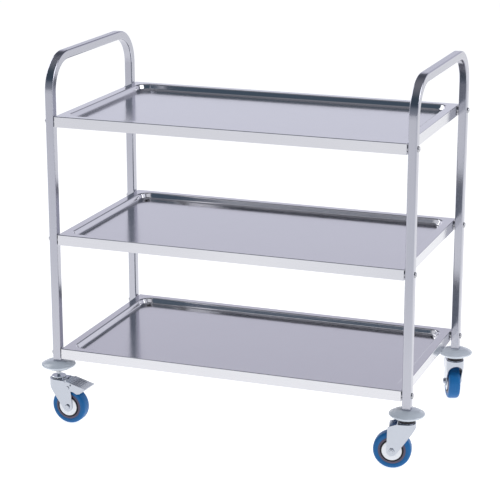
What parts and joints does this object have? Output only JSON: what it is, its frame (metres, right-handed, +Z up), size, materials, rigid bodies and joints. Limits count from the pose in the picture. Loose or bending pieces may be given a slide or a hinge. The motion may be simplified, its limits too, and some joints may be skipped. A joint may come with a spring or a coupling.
{
  "type": "food service trolley",
  "caption": "Food service trolley: pressed tray shelves bolted between bent square-tube end frames, on bumpered swivel castors with blue wheels and brake pedals at one end.",
  "frame": {"origin": "on the floor, under the middle of the frame's four legs", "axes": "+X along the trolley from its braked left end to its right end, +Y to its rear, +Z up"},
  "size_m": [1.016, 0.6042, 0.956],
  "materials": {
    "tube_steel": "satin stainless square tube, polished bright on the bends",
    "tray_steel": "fine satin stainless sheet, grain along the shelf",
    "fastener_steel": "plain stainless fasteners",
    "zinc_plate": "bright zinc plated pressings",
    "guard_plate": "pale satin dished plate",
    "bearing_steel": "polished bearing steel",
    "bumper_rubber": "semi-gloss pale blue-grey moulded rubber",
    "black_rubber": "matt black rubber",
    "black_nylon": "moulded nylon plug",
    "hub_nylon": "grey moulded nylon",
    "blue_tread": "semi-matt blue tread"
  },
  "bodies": {
    "frame": {"bottom_shelf": "tray_steel", "bottom_shelf_stiffener": "tray_steel", "dust_seals": "black_rubber", "front_left_bumper": "bumper_rubber", "front_left_castor_stem": "zinc_plate", "front_right_bumper": "bumper_rubber", "front_right_castor_stem": "zinc_plate", "left_end_frame": "tube_steel", "leg_sockets": "black_nylon", "middle_shelf": "tray_steel", "middle_shelf_stiffener": "tray_steel", "rear_left_bumper": "bumper_rubber", "rear_left_castor_stem": "zinc_plate", "rear_right_bumper": "bumper_rubber", "rear_right_castor_stem": "zinc_plate", "right_end_frame": "tube_steel", "shelf_bolts": "fastener_steel", "shelf_nuts": "fastener_steel", "shelf_spacers": "fastener_steel", "shelf_washers": "fastener_steel", "stem_nuts": "fastener_steel", "top_shelf": "tray_steel", "top_shelf_stiffener": "tray_steel"},
    "front_left_castor": {"front_left_fork": "zinc_plate", "front_left_swivel_balls": "bearing_steel", "front_left_axle": "zinc_plate", "front_left_bush": "bearing_steel", "front_left_thread_guards": "guard_plate", "front_left_brake_pin": "zinc_plate"},
    "front_left_wheel": {"front_left_wheel_core": "hub_nylon", "front_left_hub_rings": "black_rubber", "front_left_tyre": "blue_tread"},
    "front_left_pedal": {"front_left_brake_pedal": "zinc_plate"},
    "front_right_castor": {"front_right_fork": "zinc_plate", "front_right_swivel_balls": "bearing_steel", "front_right_axle": "zinc_plate", "front_right_bush": "bearing_steel", "front_right_thread_guards": "guard_plate"},
    "front_right_wheel": {"front_right_wheel_core": "hub_nylon", "front_right_hub_rings": "black_rubber", "front_right_tyre": "blue_tread"},
    "rear_right_castor": {"rear_right_fork": "zinc_plate", "rear_right_swivel_balls": "bearing_steel", "rear_right_axle": "zinc_plate", "rear_right_bush": "bearing_steel", "rear_right_thread_guards": "guard_plate"},
    "rear_right_wheel": {"rear_right_wheel_core": "hub_nylon", "rear_right_hub_rings": "black_rubber", "rear_right_tyre": "blue_tread"},
    "rear_left_castor": {"rear_left_fork": "zinc_plate", "rear_left_swivel_balls": "bearing_steel", "rear_left_axle": "zinc_plate", "rear_left_bush": "bearing_steel", "rear_left_thread_guards": "guard_plate", "rear_left_brake_pin": "zinc_plate"},
    "rear_left_wheel": {"rear_left_wheel_core": "hub_nylon", "rear_left_hub_rings": "black_rubber", "rear_left_tyre": "blue_tread"},
    "rear_left_pedal": {"rear_left_brake_pedal": "zinc_plate"}
  },
  "joints": [
    {"name": "front_left_swivel", "type": "hinge", "parent": "frame", "child": "front_left_castor", "pos_m": [-0.464, -0.2415, 0.117], "axis": [0, 0, 1], "continuous": true},
    {"name": "front_left_wheel_spin", "type": "hinge", "parent": "front_left_castor", "child": "front_left_wheel", "pos_m": [-0.43105, -0.24323, 0.047], "axis": [0.0523, 0.9986, 0], "continuous": true},
    {"name": "front_left_brake", "type": "hinge", "parent": "front_left_castor", "child": "front_left_pedal", "pos_m": [-0.42705, -0.24344, 0.1], "axis": [0.0523, 0.9986, 0], "range_deg": [0, 10]},
    {"name": "front_right_swivel", "type": "hinge", "parent": "frame", "child": "front_right_castor", "pos_m": [0.464, -0.2415, 0.117], "axis": [0, 0, 1], "continuous": true},
    {"name": "front_right_wheel_spin", "type": "hinge", "parent": "front_right_castor", "child": "front_right_wheel", "pos_m": [0.43141, -0.24666, 0.047], "axis": [0.1564, -0.9877, 0], "continuous": true},
    {"name": "rear_right_swivel", "type": "hinge", "parent": "frame", "child": "rear_right_castor", "pos_m": [0.464, 0.2415, 0.117], "axis": [0, 0, 1], "continuous": true},
    {"name": "rear_right_wheel_spin", "type": "hinge", "parent": "rear_right_castor", "child": "rear_right_wheel", "pos_m": [0.45111, 0.27188, 0.047], "axis": [-0.9205, -0.3907, 0], "continuous": true},
    {"name": "rear_left_swivel", "type": "hinge", "parent": "frame", "child": "rear_left_castor", "pos_m": [-0.464, 0.2415, 0.117], "axis": [0, 0, 1], "continuous": true},
    {"name": "rear_left_wheel_spin", "type": "hinge", "parent": "rear_left_castor", "child": "rear_left_wheel", "pos_m": [-0.43172, 0.24836, 0.047], "axis": [-0.2079, 0.9781, 0], "continuous": true},
    {"name": "rear_left_brake", "type": "hinge", "parent": "rear_left_castor", "child": "rear_left_pedal", "pos_m": [-0.42781, 0.24919, 0.1], "axis": [-0.2079, 0.9781, 0], "range_deg": [0, 10]}
  ]
}
